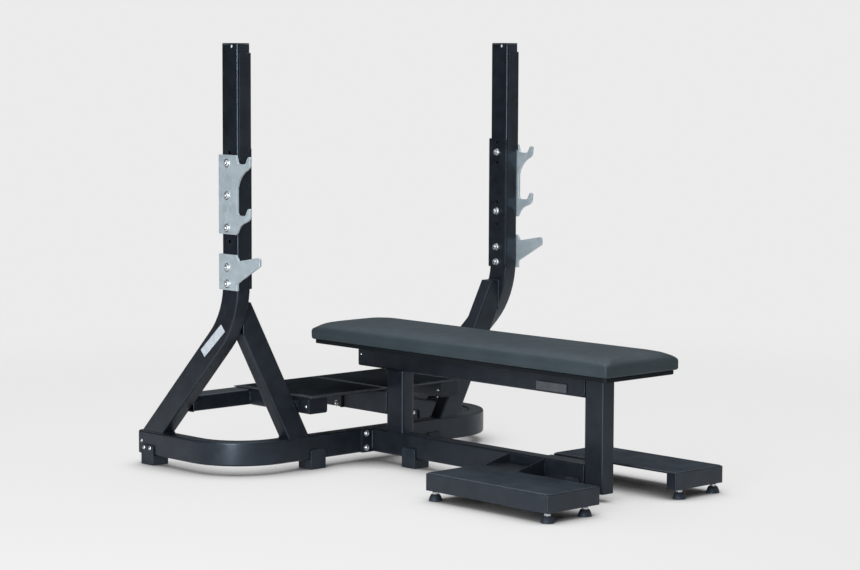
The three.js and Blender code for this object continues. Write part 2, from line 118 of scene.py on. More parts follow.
def make_lights():
    for name, setting in SOFTBOXES.items():
        softbox(name, **setting)


def rgb(colour):
    """A colour with full alpha, for a shader socket."""
    return (*colour, 1.0)


class Nodes:
    """A node tree with a short way to add a node and feed its inputs."""

    def __init__(self, tree):
        self.tree = tree
        tree.nodes.clear()

    def add(self, kind, inputs=None, **settings):
        made = self.tree.nodes.new(kind)
        for key, value in settings.items():
            setattr(made, key, value)
        for key, value in (inputs or {}).items():
            if isinstance(value, bpy.types.NodeSocket):
                self.tree.links.new(value, made.inputs[key])
            else:
                made.inputs[key].default_value = value
        return made

    def math(self, operation, *values, clamp=False):
        inputs = dict(enumerate(values))
        return self.add("ShaderNodeMath", inputs, operation=operation, use_clamp=clamp).outputs[0]

    def ramp(self, value, low, high, to_low=0.0, to_high=1.0, smooth=True):
        """value, scaled from low..high to to_low..to_high and clamped."""
        inputs = {"Value": value, "From Min": low, "From Max": high, "To Min": to_low, "To Max": to_high}
        kind = "SMOOTHSTEP" if smooth else "LINEAR"
        return self.add("ShaderNodeMapRange", inputs, interpolation_type=kind).outputs["Result"]

    def mix(self, share, a, b):
        """Colours a and b, mixed by share; the node's colour sockets are inputs 6 and 7 and output 2."""
        made = self.add("ShaderNodeMix", data_type="RGBA")
        for index, value in ((0, share), (6, a), (7, b)):
            if isinstance(value, bpy.types.NodeSocket):
                self.tree.links.new(value, made.inputs[index])
            else:
                made.inputs[index].default_value = value
        return made.outputs[2]

    def noise(self, place, scale, detail=3.0, roughness=0.5):
        inputs = {"Vector": place, "Scale": scale, "Detail": detail, "Roughness": roughness}
        return self.add("ShaderNodeTexNoise", inputs).outputs["Fac"]


BACKGROUND = 0.835


def make_world():
    """Plain pale studio: even where it shows, and darker on the left where it lights the object."""
    world = bpy.data.worlds.new("studio")
    world.use_nodes = True
    bpy.context.scene.world = world
    nodes = Nodes(world.node_tree)
    direction = nodes.add("ShaderNodeTexCoord").outputs["Generated"]
    parts = nodes.add("ShaderNodeSeparateXYZ", {0: direction})
    rightwards = nodes.ramp(parts.outputs["X"], -0.45, 0.5, 0.03, 0.13)
    upwards = nodes.ramp(parts.outputs["Z"], 0.1, 0.9, 0.0, 0.45)
    level = nodes.math("ADD", rightwards, upwards)
    lighting = nodes.add("ShaderNodeBackground", {"Color": rgb(LIGHT_COLOUR), "Strength": level})
    seen = nodes.add("ShaderNodeBackground", {"Color": (1, 1, 1, 1), "Strength": BACKGROUND})
    direct = nodes.add("ShaderNodeLightPath").outputs["Is Camera Ray"]
    mixed = nodes.add("ShaderNodeMixShader", {0: direct, 1: lighting.outputs[0], 2: seen.outputs[0]})
    nodes.add("ShaderNodeOutputWorld", {"Surface": mixed.outputs[0]})


FLOOR_RADIUS = 9.0
FLOOR_FADE = (1.9, 4.2)  # distances between which the floor turns into the background
FLOOR_COLOUR = (0.80, 0.75, 0.72)
FLOOR_GLOW = 0.8  # share of evenly lit paper in what the camera sees
FLOOR_SHADOW_REACH = 0.16  # how far around the feet the glow keeps a soft shadow


def make_floor():
    """A pale floor that fades out into the background, so that no horizon shows."""
    mesh = bpy.data.meshes.new("floor")
    quarters = ((-1, -1), (1, -1), (1, 1), (-1, 1))
    corners = [(x * FLOOR_RADIUS, y * FLOOR_RADIUS, 0) for x, y in quarters]
    mesh.from_pydata(corners, [], [(0, 1, 2, 3)])
    floor = bpy.data.objects.new("floor", mesh)
    bpy.context.scene.collection.objects.link(floor)
    material = bpy.data.materials.new("floor_paper")
    material.use_nodes = True
    nodes = Nodes(material.node_tree)
    place = nodes.add("ShaderNodeTexCoord").outputs["Object"]
    away = nodes.add("ShaderNodeVectorMath", {0: place}, operation="LENGTH").outputs["Value"]
    fade = nodes.ramp(away, *FLOOR_FADE)
    near = nodes.add("ShaderNodeAmbientOcclusion", {"Distance": FLOOR_SHADOW_REACH}, samples=8)
    open_sky = nodes.ramp(near.outputs["AO"], 0.25, 0.95)
    glow = nodes.math("MULTIPLY", open_sky, BACKGROUND)
    glowing = nodes.add("ShaderNodeEmission", {"Color": (1, 1, 1, 1), "Strength": glow})
    matt = nodes.add("ShaderNodeBsdfDiffuse", {"Color": rgb(FLOOR_COLOUR)})
    direct = nodes.add("ShaderNodeLightPath").outputs["Is Camera Ray"]
    share = nodes.math("MULTIPLY", direct, FLOOR_GLOW)
    paper = nodes.add("ShaderNodeMixShader", {0: share, 1: matt.outputs[0], 2: glowing.outputs[0]})
    clear = nodes.add("ShaderNodeBsdfTransparent")
    mixed = nodes.add("ShaderNodeMixShader", {0: fade, 1: paper.outputs[0], 2: clear.outputs[0]})
    nodes.add("ShaderNodeOutputMaterial", {"Surface": mixed.outputs[0]})
    mesh.materials.append(material)


# ---------------------------------------------------------------- materials

class Finish:
    """A Principled material in the making, with the object's own coordinates."""

    def __init__(self, name, roughness, metallic=0.0, specular=0.5, tint=(1, 1, 1)):
        self.material = bpy.data.materials.new(name)
        self.material.use_nodes = True
        self.nodes = Nodes(self.material.node_tree)
        self.place = self.nodes.add("ShaderNodeTexCoord").outputs["Object"]
        inputs = {"Roughness": roughness, "Metallic": metallic, "Specular IOR Level": specular,
                  "Specular Tint": rgb(tint)}
        self.shader = self.nodes.add("ShaderNodeBsdfPrincipled", inputs)
        self.nodes.add("ShaderNodeOutputMaterial", {"Surface": self.shader.outputs[0]})

    def feed(self, socket, value):
        self.nodes.tree.links.new(value, self.shader.inputs[socket])

    def mottle(self, dark, light, scale, low=0.35, high=0.65):
        """Slow colour variation between two close colours; returns the colour."""
        patches = self.nodes.ramp(self.nodes.noise(self.place, scale), low, high)
        return self.nodes.mix(patches, rgb(dark), rgb(light))

    def edges(self, radius, patch_range=(0.35, 0.7)):
        """1 on edges, 0 elsewhere, where the finishes mix in scuffing together with a painted edge
        highlight; the last argument is the noise's range, and a low one leaves no gaps.
        """
        rounded = self.nodes.add("ShaderNodeBevel", {"Radius": radius}, samples=4).outputs[0]
        normal = self.nodes.add("ShaderNodeNewGeometry").outputs["Normal"]
        inputs = {0: rounded, 1: normal}
        match = self.nodes.add("ShaderNodeVectorMath", inputs, operation="DOT_PRODUCT").outputs["Value"]
        bent = self.nodes.ramp(match, 0.995, 0.86)
        patchy = self.nodes.ramp(self.nodes.noise(self.place, 45.0), *patch_range)
        return self.nodes.math("MULTIPLY", bent, patchy)

    def roughness_between(self, low, high, scale):
        spread = self.nodes.ramp(self.nodes.noise(self.place, scale, 4.0), 0.3, 0.7, low, high)
        self.feed("Roughness", spread)

    def bump(self, height, distance, strength=1.0):
        inputs = {"Height": height, "Distance": distance, "Strength": strength}
        self.feed("Normal", self.nodes.add("ShaderNodeBump", inputs).outputs[0])

    def stretched(self, scale):
        """The object's coordinates, scaled by axis so that a noise runs along the smallest one."""
        return self.nodes.add("ShaderNodeMapping", {"Vector": self.place, "Scale": scale}).outputs[0]


BLUISH = (0.7, 0.84, 1.0)  # tint of the gloss on every dark finish


def powder_coat():
    """Satin near-black powder coat: fine orange peel, faint patches, and lighter edges that are partly
    scuffing and partly a painted highlight.
    """
    finish = Finish("powder_coat", 0.36, specular=0.58, tint=BLUISH)
    colour = finish.mottle((0.0060, 0.0074, 0.0102), (0.0100, 0.0121, 0.0164), 24.0, 0.3, 0.7)
    # The lighter edge colour is partly scuffing and partly a painted highlight along the tubes' rounded
    # edges.
    scuffed_and_highlit = finish.nodes.math("MULTIPLY", finish.edges(0.0018), 0.75)
    finish.feed("Base Color", finish.nodes.mix(scuffed_and_highlit, colour, rgb((0.085, 0.094, 0.105))))
    finish.roughness_between(0.3, 0.42, 14.0)
    finish.bump(finish.nodes.noise(finish.place, 420.0, 3.0, 0.6), 0.00022, 0.6)
    return finish.material


def zinc_sheet():
    """Bright zinc plating on cut plate: cloudy, with a faint rolled grain along the sheet."""
    finish = Finish("zinc_sheet", 0.45, 0.5)
    colour = finish.mottle((0.47, 0.535, 0.568), (0.54, 0.60, 0.633), 26.0)
    # Near-white edges: partly scuffing, partly a painted highlight on the plates' cut edges.
    scuffed_and_highlit = finish.nodes.math("MULTIPLY", finish.edges(0.0016), 0.9)
    finish.feed("Base Color", finish.nodes.mix(scuffed_and_highlit, colour, rgb((0.93, 0.95, 0.96))))
    finish.roughness_between(0.38, 0.52, 60.0)
    rolled = finish.nodes.noise(finish.stretched((1.0, 1.0, 0.06)), 900.0, 2.0)
    finish.bump(rolled, 0.00005, 0.5)
    return finish.material


def zinc_bolt():
    """Bright plated fasteners."""
    finish = Finish("zinc_bolt", 0.3, 0.92)
    colour = finish.mottle((0.58, 0.6, 0.62), (0.74, 0.76, 0.78), 160.0)
    finish.feed("Base Color", colour)
    finish.roughness_between(0.22, 0.38, 220.0)
    finish.bump(finish.nodes.noise(finish.place, 1500.0, 2.0), 0.00003, 0.4)
    return finish.material


def moulded(name, dark, light, roughness, grain, depth, gloss=0.5):
    """Moulded plastic or rubber; grain and depth are the scale and height of its stipple."""
    finish = Finish(name, roughness, specular=gloss, tint=BLUISH)
    colour = finish.mottle(dark, light, 22.0)
    # Edges three times lighter than the plastic: partly scuffing, partly a painted highlight on rounded
    # edges.
    scuffed_and_highlit = finish.nodes.math("MULTIPLY", finish.edges(0.001), 0.4)
    edge_scuff_and_highlight = tuple(3 * channel for channel in light)
    finish.feed("Base Color", finish.nodes.mix(scuffed_and_highlit, colour, rgb(edge_scuff_and_highlight)))
    finish.roughness_between(roughness - 0.08, roughness + 0.08, 30.0)
    finish.bump(finish.nodes.noise(finish.place, grain, 2.0, 0.6), depth, 0.7)
    return finish.material


MAT_COLOURS = [(0.011, 0.013, 0.0157), (0.0175, 0.021, 0.025), (0.044, 0.05, 0.059)]
# Colour of a light line painted along the mats' edges, a painted highlight.
MAT_EDGE_HIGHLIGHT = (0.17, 0.18, 0.2)


def mat_rubber(name, shade, gloss):
    """Anti-slip sheet: dense coarse grit with lighter grains and a painted highlight line along its edges;
    shade scales its colours, to paint one copy lighter and one darker as light and shade.
    """
    finish = Finish(name, 0.9, specular=gloss, tint=BLUISH)
    grit = finish.nodes.noise(finish.place, 650.0, 3.0, 0.7)
    grains = finish.nodes.ramp(grit, 0.52, 0.68)
    dark, light, grain = [tuple(shade * channel for channel in colour) for colour in MAT_COLOURS]
    grainy = finish.nodes.mix(grains, finish.mottle(dark, light, 12.0), rgb(grain))
    finish.feed("Base Color", finish.nodes.mix(finish.edges(0.003, patch_range=(0.0, 0.3)), grainy, rgb(MAT_EDGE_HIGHLIGHT)))
    finish.bump(grit, 0.0007, 0.8)
    return finish.material


def vinyl():
    """Upholstery vinyl: pebbled leather grain under a soft sheen."""
    finish = Finish("vinyl", 0.45, specular=0.25)
    colour = finish.mottle((0.036, 0.050, 0.058), (0.051, 0.068, 0.077), 7.0)
    inputs = {"Vector": finish.place, "Scale": 620.0, "Randomness": 1.0}
    cells = finish.nodes.add("ShaderNodeTexVoronoi", inputs, feature="DISTANCE_TO_EDGE")
    pebbles = finish.nodes.ramp(cells.outputs["Distance"], 0.0, 0.32)
    finish.feed("Base Color", finish.nodes.mix(pebbles, rgb((0.024, 0.034, 0.040)), colour))
    fine = finish.nodes.math("MULTIPLY", finish.nodes.noise(finish.place, 1700.0, 2.0), 0.35)
    finish.roughness_between(0.4, 0.52, 18.0)
    finish.bump(finish.nodes.math("ADD", pebbles, fine), 0.00016, 0.75)
    return finish.material


def painted_board():
    """Black stained plywood with a faint grain along the board."""
    finish = Finish("painted_board", 0.6, specular=0.2, tint=BLUISH)
    grain = finish.nodes.noise(finish.stretched((1.0, 0.05, 1.0)), 260.0, 4.0)
    colour = finish.nodes.mix(grain, rgb((0.003, 0.0035, 0.004)), rgb((0.008, 0.009, 0.01)))
    finish.feed("Base Color", colour)
    finish.bump(grain, 0.0002, 0.6)
    return finish.material


def blank_label():
    """A satin grey plate with nothing on it."""
    finish = Finish("blank_label", 0.4, 0.35)
    colour = finish.mottle((0.085, 0.09, 0.1), (0.11, 0.115, 0.127), 30.0)
    finish.feed("Base Color", colour)
    brushed = finish.nodes.noise(finish.stretched((1.0, 0.04, 1.0)), 1200.0, 2.0)
    finish.bump(brushed, 0.00004, 0.5)
    return finish.material


def sticker():
    """A plain pale label, slightly soiled."""
    finish = Finish("sticker", 0.4)
    finish.feed("Base Color", finish.mottle((0.42, 0.45, 0.48), (0.5, 0.53, 0.56), 60.0))
    finish.roughness_between(0.34, 0.46, 90.0)
    return finish.material


MATERIALS = {
    "frame_paint": powder_coat(),
    "zinc_plate": zinc_sheet(),
    "bolt": zinc_bolt(),
    "black_plastic": moulded("black_plastic", dark=(0.005, 0.006, 0.008), light=(0.009, 0.011, 0.014),
                             roughness=0.5, grain=900.0, depth=0.00008),
    "guard_plastic": moulded("guard_plastic", dark=(0.007, 0.008, 0.011), light=(0.011, 0.013, 0.017),
                             roughness=0.55, grain=420.0, depth=0.0004, gloss=0.4),
    "foot_rubber": moulded("foot_rubber", dark=(0.010, 0.0125, 0.017), light=(0.016, 0.0195, 0.025),
                           roughness=0.55, grain=700.0, depth=0.00015),
    # One mat rubber in two copies: the foot plates' painted lighter (1.8) and the deck's darker (0.5),
    # painted light and painted shade.
    "mat_rubber": mat_rubber("mat_rubber", 1.8, 0.15),
    "deck_mat": mat_rubber("deck_mat_rubber", 0.5, 0.03),
    "vinyl": vinyl(),
    "board_paint": painted_board(),
    "label_grey": blank_label(),
    "sticker": sticker(),
}


# ---------------------------------------------------------------- CAD nodes that stay

PLAIN_EDGE = 0.7
EDGE_WIDTHS = {  # in mm, by how the nodes' names start
    2.2: ("rail_cap",),
    1.8: ("rail_foot", "cross_foot", "beam_foot"),
    1.5: ("pad_board",),
    1.4: ("upright_left", "upright_right", "brace", "base_tube", "main_beam", "rear_leg", "front_leg",
          "seat_beam", "deck_tube_cap"),
    1.2: ("upright_cap", "upright_guard", "foot_plate_left", "foot_plate_right", "deck_side_tube",
          "deck_rear_tube", "deck_strut_front", "deck_strut_rear"),
    1.0: ("deck_plate",),
    0.9: ("label_plate",),
    0.8: ("hook_plate", "catch_plate", "foot_plate_mat"),
}


def edge_width(node):
    fitting = [width for width, starts in EDGE_WIDTHS.items() if node.startswith(starts)]
    return (fitting[0] if fitting else PLAIN_EDGE) * MM


def refine(piece, width):
    """Joins the facets of flat faces, rounds sharp edges and smooths the shading of round stretches."""
    piece.data.shade_smooth()
    weld = piece.modifiers.new("weld", "WELD")
    weld.merge_threshold = 1e-5
    flat = piece.modifiers.new("flat", "DECIMATE")
    flat.decimate_type = "DISSOLVE"
    flat.angle_limit = math.radians(0.4)
    bevel = piece.modifiers.new("edges", "BEVEL")
    bevel.width = width
    bevel.segments = 2
    bevel.limit_method = "ANGLE"
    bevel.angle_limit = math.radians(50)
    bevel.use_clamp_overlap = True
    normals = piece.modifiers.new("normals", "WEIGHTED_NORMAL")
    normals.weight = 90


def dress_frame():
    """Gives each CAD node its slot's material and fine edges."""
    slots = {row["node"]: row["material_slot"] for row in frame["record"]["subparts"]}
    for name, node in frame["nodes"].items():
        # The deck's mats get the darker copy of the mat rubber, painted shade.
        material = "deck_mat" if name.startswith("deck_mat") else slots[name]
        node.data.materials.clear()
        node.data.materials.append(MATERIALS[material])
        refine(node, edge_width(name))


# ---------------------------------------------------------------- closed shells

def box(node):
    """A node's lowest and highest corners, as vectors."""
    low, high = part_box(node)
    return Vector(low), Vector(high)


class Shells:
    """Closed shells gathered into one piece. Profiles are in mm and places in metres."""

    def __init__(self):
        self.bm = bmesh.new()

    def turned(self, profile, place, axis, sides=24, ring=False):
        """A shell turned about an axis from rows of (radius, height), or (radius, height, "hex")."""
        turn = Vector(axis).to_track_quat("Z", "Y").to_matrix()
        rows = [self.row(entry, Vector(place), turn, sides) for entry in profile]
        if ring:
            rows.append(rows[0])
        for low, high in zip(rows, rows[1:]):
            self.skin(low, high)

    def row(self, entry, place, turn, sides):
        radius, height = entry[0] * MM, entry[1] * MM
        if radius == 0:
            return [self.bm.verts.new(place + turn @ Vector((0, 0, height)))]
        verts = []
        for i in range(sides):
            angle = math.tau * i / sides
            from_flat = (angle + math.pi / 6) % (math.pi / 3) - math.pi / 6
            reach = radius / math.cos(from_flat) if "hex" in entry else radius
            point = Vector((reach * math.cos(angle), reach * math.sin(angle), height))
            verts.append(self.bm.verts.new(place + turn @ point))
        return verts

    def skin(self, low, high):
        """Faces between two loops of equal length, or between a loop and a single point."""
        count = max(len(low), len(high))
        for i in range(count):
            after = (i + 1) % count
            below = [low[i % len(low)], low[after % len(low)]]
            above = [high[after % len(high)], high[i % len(high)]]
            self.bm.faces.new(list(dict.fromkeys(below + above)))

    def tube(self, loops):
        """A tube through loops of points, closed by a fan at both ends."""
        rows = [[self.bm.verts.new(point) for point in loop] for loop in loops]
        for low, high in zip(rows, rows[1:]):
            self.skin(low, high)
        for loop, row in ((loops[0], rows[0]), (loops[-1], rows[-1])):
            middle = sum(loop, Vector()) / len(loop)
            self.skin([self.bm.verts.new(middle)], row)

    def mesh_object(self, name):
        bmesh.ops.recalc_face_normals(self.bm, faces=self.bm.faces)
        mesh = bpy.data.meshes.new(name)
        self.bm.to_mesh(mesh)
        self.bm.free()
        piece = bpy.data.objects.new(name, mesh)
        bpy.context.scene.collection.objects.link(piece)
        return piece

    def finish(self, name, slot, material=None, body=FRAME_BODY, smooth=40):
        """Makes the piece, with sharp edges kept where faces meet at more than smooth degrees."""
        piece = self.mesh_object(name)
        piece.data.materials.append(MATERIALS[material or slot])
        piece.data.shade_smooth()
        piece.data.set_sharp_from_angle(angle=math.radians(smooth))
        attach(piece, body)
        return piece


# ---------------------------------------------------------------- fasteners

def washer_profile(outer, hole, thick):
    """A flat washer with a broken outer edge; radii in mm."""
    edge = 0.3
    return [(hole, 0), (outer - edge, 0), (outer, edge),
            (outer, thick - edge), (outer - edge, thick), (hole, thick)]


def button_profile(radius, height, socket, base=0.0):
    """A domed head with a hexagonal socket."""
    dome = [(radius * math.cos(angle), base + height * (0.25 + 0.75 * math.sin(angle)))
            for angle in (0, 0.3, 0.6, 0.85, 1.05)]
    top = dome[-1][1]
    floor = base + 0.35 * height
    return [(0, base), (radius, base), *dome, (socket * 1.25, top), (socket, top - 0.4, "hex"),
            (socket, floor, "hex"), (0, floor - 0.6)]


def dome_profile(radius, height):
    """A plain domed screw head."""
    angles = (0.15, 0.45, 0.75, 1.05, 1.3)
    dome = [(radius * math.cos(angle), height * math.sin(angle)) for angle in angles]
    return [(0, 0), (radius, 0), *dome, (0, height)]


def nut_profile(flat, height, stud, stick_out, base=0.0):
    """A hexagonal nut with chamfered corners and the bolt's end standing out of it."""
    top = base + height
    end = top + stick_out
    edge = 0.8
    return [(0, base), (flat * 0.97, base), (flat, base + edge, "hex"), (flat, top - edge, "hex"),
            (flat * 0.97, top), (stud * 1.15, top), (stud, top - 0.5), (stud, end - edge),
            (stud - edge, end), (0, end)]


WASHER_HOLE = 4.0
WASHER_THICK = 2.0


def add_bolt(shells, place, axis, radius=9.5, washer=13.5):
    """A washer with a socket head bolt on it."""
    shells.turned(washer_profile(washer, WASHER_HOLE, WASHER_THICK), place, axis, 32, ring=True)
    shells.turned(button_profile(radius, 5.5, radius * 0.5, base=WASHER_THICK), place, axis)


def add_nut(shells, place, axis):
    """A washer with a nut on it and the bolt's end standing out."""
    shells.turned(washer_profile(11.5, WASHER_HOLE, WASHER_THICK), place, axis, 32, ring=True)
    nut = nut_profile(flat=8.5, height=8.0, stud=5.0, stick_out=3.5, base=WASHER_THICK)
    shells.turned(nut, place, axis)


def add_side_domes(shells, low, high, y, z, radius=5.0, height=3.0):
    """A domed screw head on the left and the right face of a box, at the same y and z."""
    for x, axis in ((low.x, -1), (high.x, 1)):
        shells.turned(dome_profile(radius, height), (x, y, z), (axis, 0, 0), 20)


BOLT_FROM_REAR = 41 * MM  # the rack's bolts, from the hook plate's rear edge
HOOK_BOLT_INSET = {"top": 25 * MM, "bottom": 19 * MM}
CATCH_BOLT_INSET = {"top": 40 * MM, "bottom": 19 * MM}
CAP_SCREW = {"y": 27 * MM, "below_top": 10 * MM}


def plate_bolt_heights(side):
    """Heights of the bolts that go through to a nut, and of the hook plate's short middle bolt."""
    hook_low, hook_high = box(f"hook_plate_{side}")
    catch_low, catch_high = box(f"catch_plate_{side}")
    through = [hook_high.z - HOOK_BOLT_INSET["top"], hook_low.z + HOOK_BOLT_INSET["bottom"],
               catch_high.z - CATCH_BOLT_INSET["top"], catch_low.z + CATCH_BOLT_INSET["bottom"]]
    return through, (through[0] + through[1]) / 2


def outer_x(node, side):
    low, high = box(f"{node}_{side}")
    return high.x if side == "right" else low.x


def inner_x(node, side):
    low, high = box(f"{node}_{side}")
    return low.x if side == "right" else high.x


def make_rack_bolts():
    """Bolts on the outer plates, nuts on the backing plates, and a screw at the top of each upright."""
    for side, sign in SIDES.items():
        outwards = Vector((sign, 0, 0))
        through, middle = plate_bolt_heights(side)
        y = box(f"hook_plate_{side}")[1].y - BOLT_FROM_REAR
        bolts, nuts = Shells(), Shells()
        for z in (*through, middle):
            add_bolt(bolts, (outer_x("hook_plate", side), y, z), outwards)
        for z in through:
            add_nut(nuts, (inner_x("backing_plate", side), y, z), -outwards)
        bolts.finish(f"plate_bolts_{side}", "zinc_plate", "bolt")
        nuts.finish(f"plate_nuts_{side}", "zinc_plate", "bolt")

        screws = Shells()
        low, high = box(f"upright_cap_{side}")
        add_side_domes(screws, low, high, low.y + CAP_SCREW["y"], high.z - CAP_SCREW["below_top"])
        screws.finish(f"cap_screws_{side}", "zinc_plate", "bolt")


END_PLATE_BOLTS = {"x": 50 * MM, "heights": (15 * MM, 61 * MM)}
SEAT_SCREW_INSET = 10 * MM


def make_bench_bolts():
    """Four bolts on the beam's end plate and the screws of the seat beam's cap."""
    low, high = box("beam_end_plate")
    bolts = Shells()
    for x in (-END_PLATE_BOLTS["x"], END_PLATE_BOLTS["x"]):
        for height in END_PLATE_BOLTS["heights"]:
            add_bolt(bolts, (x, low.y, low.z + height), (0, -1, 0), radius=7.5, washer=10.5)
    bolts.finish("end_plate_bolts", "zinc_plate", "bolt")

    low, high = box("seat_beam")
    screws = Shells()
    add_side_domes(screws, low, high, high.y - SEAT_SCREW_INSET, (low.z + high.z) / 2, radius=4.5)
    screws.finish("seat_cap_screws", "zinc_plate", "bolt")


SADDLE_BOLTS = {"below_top": 10 * MM, "apart": 30 * MM, "radius": 6.5, "height": 3.2}


def make_saddle_bolts(node):
    """Two domed bolts on each tab of a rail's rubber foot; the other feet are only pushed on."""
    low, high = box(node)
    z = high.z - SADDLE_BOLTS["below_top"]
    shells = Shells()
    for step in (-0.5, 0.5):
        y = (low.y + high.y) / 2 + step * SADDLE_BOLTS["apart"]
        add_side_domes(shells, low, high, y, z, SADDLE_BOLTS["radius"], SADDLE_BOLTS["height"])
    shells.finish(f"{node}_bolts", "zinc_plate", "bolt")


RAIL_CAP_SCREW = {"before": 12 * MM, "above_bottom": 42 * MM}
SIDE_TUBE_SCREW = {"y": 12 * MM, "below_middle": 2 * MM}
STRUT_BOLT = {"y": 22 * MM, "above_bottom": 10 * MM, "washer_thick": 1.5}


def make_small_screws():
    """Screws of the rails' end caps and the deck's side tubes, and the bolt of the strut's joint."""
    for side in SIDES:
        shells = Shells()
        low, high = box(f"rail_cap_{side}")
        y, z = low.y - RAIL_CAP_SCREW["before"], low.z + RAIL_CAP_SCREW["above_bottom"]
        add_side_domes(shells, low, high, y, z, radius=5.5)
        low, high = box(f"deck_side_tube_{side}")
        z = (low.z + high.z) / 2 - SIDE_TUBE_SCREW["below_middle"]
        add_side_domes(shells, low, high, low.y + SIDE_TUBE_SCREW["y"], z)
        shells.finish(f"cap_and_deck_screws_{side}", "zinc_plate", "bolt")

    low, high = box("deck_strut_rear")
    y, z = low.y + STRUT_BOLT["y"], low.z + STRUT_BOLT["above_bottom"]
    thick = STRUT_BOLT["washer_thick"]
    shells = Shells()
    for x, axis in ((low.x, -1), (high.x, 1)):
        shells.turned(washer_profile(10.0, 3.0, thick), (x, y, z), (axis, 0, 0), 24, ring=True)
        shells.turned(button_profile(7.5, 5.0, 3.4, base=thick), (x, y, z), (axis, 0, 0))
    shells.finish("strut_joint_bolt", "zinc_plate", "bolt")


# ---------------------------------------------------------------- blank label

STICKER = {"behind_front": 123 * MM, "height": 425 * MM, "lean": math.radians(139),
           "long": 133 * MM, "wide": 28 * MM, "thick": 0.5 * MM, "corner": 2.5 * MM}


def rounded_corners(long, wide, corner):
    """Points around a rounded rectangle about the origin."""
    points = []
    for quarter, (sign_u, sign_v) in enumerate(((1, 1), (-1, 1), (-1, -1), (1, -1))):
        centre = (sign_u * (long / 2 - corner), sign_v * (wide / 2 - corner))
        for step in range(5):
            angle = math.pi / 2 * (quarter + step / 4)
            points.append((centre[0] + corner * math.cos(angle), centre[1] + corner * math.sin(angle)))
    return points


def make_sticker():
    """A blank label along the left upright's bent stretch."""
    low = box("upright_left")[0]
    centre = Vector((low.x, low.y + STICKER["behind_front"], STICKER["height"]))
    turn = Matrix.Rotation(STICKER["lean"], 3, "X")
    outline = rounded_corners(STICKER["long"], STICKER["wide"], STICKER["corner"])
    loops = [[centre + turn @ Vector((x, u, v)) for u, v in outline] for x in (-STICKER["thick"], 0)]
    shells = Shells()
    shells.tube(loops)
    shells.finish("blank_label_upright", "label_grey", "sticker")


# ---------------------------------------------------------------- weld beads

BEAD_STEP = 1.6 * MM
RIPPLE = 5.2 * MM  # length of one ripple of a bead
BEAD_SIDES = 8
BEADS = {"rack": 2.6, "bench": 2.4, "bracket": 3.4, "end_plate": 4.2}  # radii in mm
BRACKET_SEAM_INSET = 2 * MM


def bead_stations(corners):
    """Points every BEAD_STEP along straight runs between corners, with their tangents."""
    stations = []
    for start, end in zip(corners, corners[1:]):
        run = end - start
        count = max(2, round(run.length / BEAD_STEP))
        stations += [(start + run * (i / count), run.normalized()) for i in range(count)]
    stations.append((corners[-1], (corners[-1] - corners[-2]).normalized()))
    return stations


def add_bead(shells, corners, radius, draw):
    """A rippled weld bead along straight runs, tapered at both ends."""
    radius *= MM
    corners = [Vector(corner) for corner in corners]
    stations = bead_stations(corners)
    loops = []
    for i, (point, tangent) in enumerate(stations):
        ripple = abs(math.sin(math.pi * i * BEAD_STEP / RIPPLE))
        taper = min(1.0, 0.35 + 0.2 * min(i, len(stations) - 1 - i))
        reach = radius * taper * (0.78 + 0.22 * ripple) * draw.uniform(0.95, 1.05)
        side = tangent.orthogonal().normalized()
        up = tangent.cross(side)
        angles = [math.tau * k / BEAD_SIDES for k in range(BEAD_SIDES)]
        loops.append([point + reach * (math.cos(a) * side + math.sin(a) * up) for a in angles])
    shells.tube(loops)


def rectangle_xy(low, high, z):
    """A closed run around a level rectangle."""
    corners = [(low.x, low.y, z), (high.x, low.y, z), (high.x, high.y, z), (low.x, high.y, z)]
    return corners + corners[:1]


def rectangle_yz(low, high, x):
    """A closed run around a rectangle that faces sideways."""
    corners = [(x, low.y, low.z), (x, high.y, low.z), (x, high.y, high.z), (x, low.y, high.z)]
    return corners + corners[:1]


def side_seams(node, y, trim=6 * MM):
    """Two upright seams at a tube's end, one on each side."""
    low, high = box(node)
    return [[(x, y, low.z + trim), (x, y, high.z - trim)] for x in (low.x, high.x)]


TUBE_DEEP = 75 * MM
BRACE_LEAN = math.radians(28)
UPRIGHT_LEAN = math.radians(45)


def rack_seams(side, sign):
    """Seams of a brace's foot and head, of an upright's foot and of the deck's rear tube."""
    brace_low, brace_high = box(f"brace_{side}")
    upright_low, upright_high = box(f"upright_{side}")
    foot_inner = brace_low.x if sign > 0 else brace_high.x
    foot_outer = foot_inner + sign * TUBE_DEEP / math.cos(BRACE_LEAN)
    rack_inner = inner_x("upright", side)
    outer_face_end = brace_low.z + abs(rack_inner - foot_outer) / math.tan(BRACE_LEAN)
    head = (rack_inner, brace_low.y, brace_high.z)
    foot_low = Vector((foot_inner, brace_low.y, brace_low.z))
    foot_high = Vector((foot_outer, brace_high.y, brace_low.z))
    landing_front = upright_high.y - TUBE_DEEP / math.cos(UPRIGHT_LEAN)
    landing_low = Vector((upright_low.x, landing_front, upright_low.z))
    tube_low, tube_high = box("deck_rear_tube")
    return [rectangle_xy(foot_low, foot_high, brace_low.z),
            [(rack_inner, brace_low.y, outer_face_end), head, (rack_inner, brace_high.y, brace_high.z)],
            rectangle_xy(landing_low, upright_high, upright_low.z),
            rectangle_yz(tube_low, tube_high, rack_inner)]


